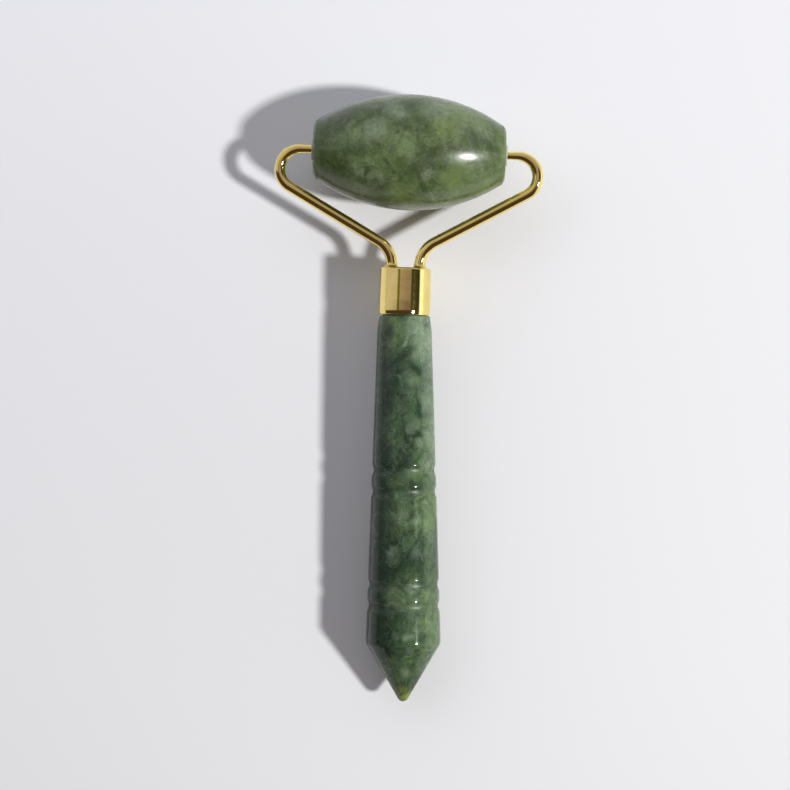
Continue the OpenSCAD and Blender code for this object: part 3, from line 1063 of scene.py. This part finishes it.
# Beyond the roller, where those bands end: high on the right and the left, and low.
NORTH_EAST = (0.36, 0.34, 0.35)
NORTH_WEST = (0.72, 0.70, 0.57)
NORTH_LOW = (0.56, 0.55, 0.55)
# On the handle's side, where the room is dark apart from the window.
SOUTH = (0.066, 0.044, 0.028)


def lamp(name, place, diameter, strength, tint):
    """A round soft lamp that faces the object. Strength is what it gives a surface there."""
    data = bpy.data.lights.new(name, "AREA")
    data.shape = "DISK"
    data.size = diameter
    data.energy = pi * place.length**2 * strength
    data.color = tint
    piece = bpy.data.objects.new(name, data)
    bpy.context.scene.collection.objects.link(piece)
    piece.location = place
    piece.rotation_mode = "QUATERNION"
    piece.rotation_quaternion = place.to_track_quat("Z", "Y")
    piece.visible_camera = False
    return piece


def studio():
    """The world, brightest as a window low on the right, with the key and fill lamps."""
    scene = bpy.context.scene
    world = bpy.data.worlds.new("studio")
    world.use_nodes = True
    scene.world = world
    nodes = Nodes(world.node_tree)
    background = world.node_tree.nodes["Background"]
    direction = nodes.add("TexCoord").outputs["Generated"]
    x, y, z = nodes.add("SeparateXYZ", {0: direction}).outputs
    angle = nodes.math("ARCTAN2", x, z)
    ramp = nodes.add("ValToRGB", {0: nodes.math("ADD", nodes.math("DIVIDE", angle, 2 * pi), 0.5)})
    stops = ramp.color_ramp.elements
    stops.remove(stops[1])
    for degrees, tone in SKY:
        stops.new(degrees / 360 + 0.5).color = color(*tone)
    stops.remove(stops[0])
    bands = ramp.outputs[0]
    high = nodes.mix(nodes.rise(x, 0.2, -0.8), color(*NORTH_EAST), color(*NORTH_WEST))
    north = nodes.mix(nodes.rise(z, 0.74, 0.52), high, color(*NORTH_LOW))
    sky = nodes.mix(nodes.rise(y, 0.18, 0.4), bands, north)
    south = nodes.rise(y, 0.05, -0.10)
    low_right = nodes.rise(angle, radians(65), radians(75))
    window = nodes.math("MULTIPLY", low_right, nodes.rise(y, -0.7, -0.45))
    beside_window = nodes.math("SUBTRACT", 1.0, window)
    sky = nodes.mix(nodes.math("MULTIPLY", south, beside_window), sky, color(*SOUTH))
    nodes.feed(background.inputs["Color"], sky)
    background.inputs["Strength"].default_value = 1.0

    lamp("key", KEY_DIRECTION * KEY_DISTANCE, KEY_DIAMETER, KEY_STRENGTH, KEY_COLOR)
    fill = lamp("fill", FILL_PLACE, FILL_DIAMETER, FILL_STRENGTH, FILL_COLOR)
    fill.visible_glossy = False


# The lens and the sensor's width are in millimetres.
LENS = 123.54
SENSOR_WIDTH = 36.0
CAMERA_PLACE = (-0.00277, -0.01628, 0.6)
CAMERA_LEAN = radians(1.65)
CAMERA_ROLL = radians(-0.246)


def camera():
    """Looks down on the roller, almost straight, from above its handle."""
    scene = bpy.context.scene
    data = bpy.data.cameras.new("camera")
    data.sensor_width = SENSOR_WIDTH
    data.lens = LENS
    data.clip_start = 0.01
    piece = bpy.data.objects.new("camera", data)
    scene.collection.objects.link(piece)
    piece.location = CAMERA_PLACE
    piece.rotation_mode = "QUATERNION"
    back = Vector((0, -sin(CAMERA_LEAN), cos(CAMERA_LEAN)))
    level_up = Vector((0, cos(CAMERA_LEAN), sin(CAMERA_LEAN)))
    up = level_up * cos(CAMERA_ROLL) + level_up.cross(back) * sin(CAMERA_ROLL)
    axes = Matrix((up.cross(back), up, back)).transposed()
    piece.rotation_quaternion = axes.to_quaternion()
    scene.camera = piece
    scene.view_settings.view_transform = "Standard"


floor()
studio()
camera()
